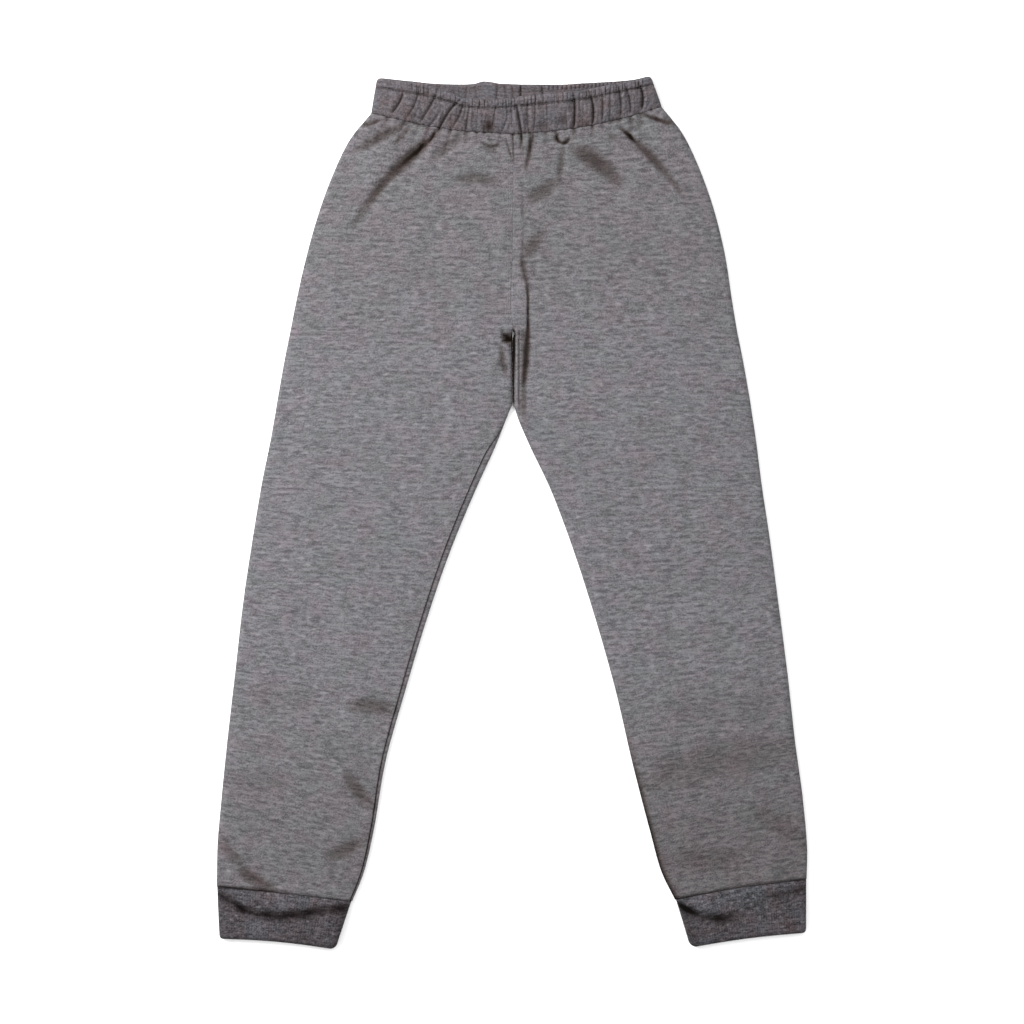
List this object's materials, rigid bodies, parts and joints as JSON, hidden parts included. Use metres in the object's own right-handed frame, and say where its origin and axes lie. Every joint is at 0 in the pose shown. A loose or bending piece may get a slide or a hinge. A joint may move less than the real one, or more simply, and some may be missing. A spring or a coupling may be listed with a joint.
{
  "type": "jogger sweatpants",
  "caption": "Jogger sweatpants in marled fleece with a gathered elastic waistband and ribbed ankle cuffs, laid flat with the front up.",
  "frame": {"origin": "on the surface that the sweatpants lie on, under the middle of their outline", "axes": "+Z away from the surface, through the front; +Y towards the waist; +X towards the wearer's left leg"},
  "size_m": [0.5012, 0.7408, 0.0083],
  "materials": {
    "marl_fleece": "matt mid-grey marl, brushed, with short dark and pale streaks across the leg",
    "waistband_fleece": "the same matt grey marl, gathered round an elastic",
    "cuff_rib": "matt dark grey rib knit with fine pale specks"
  },
  "bodies": {
    "root": {"leg_right": "marl_fleece", "leg_left": "marl_fleece", "waistband": "waistband_fleece", "cuff_right": "cuff_rib", "cuff_left": "cuff_rib"}
  },
  "joints": []
}
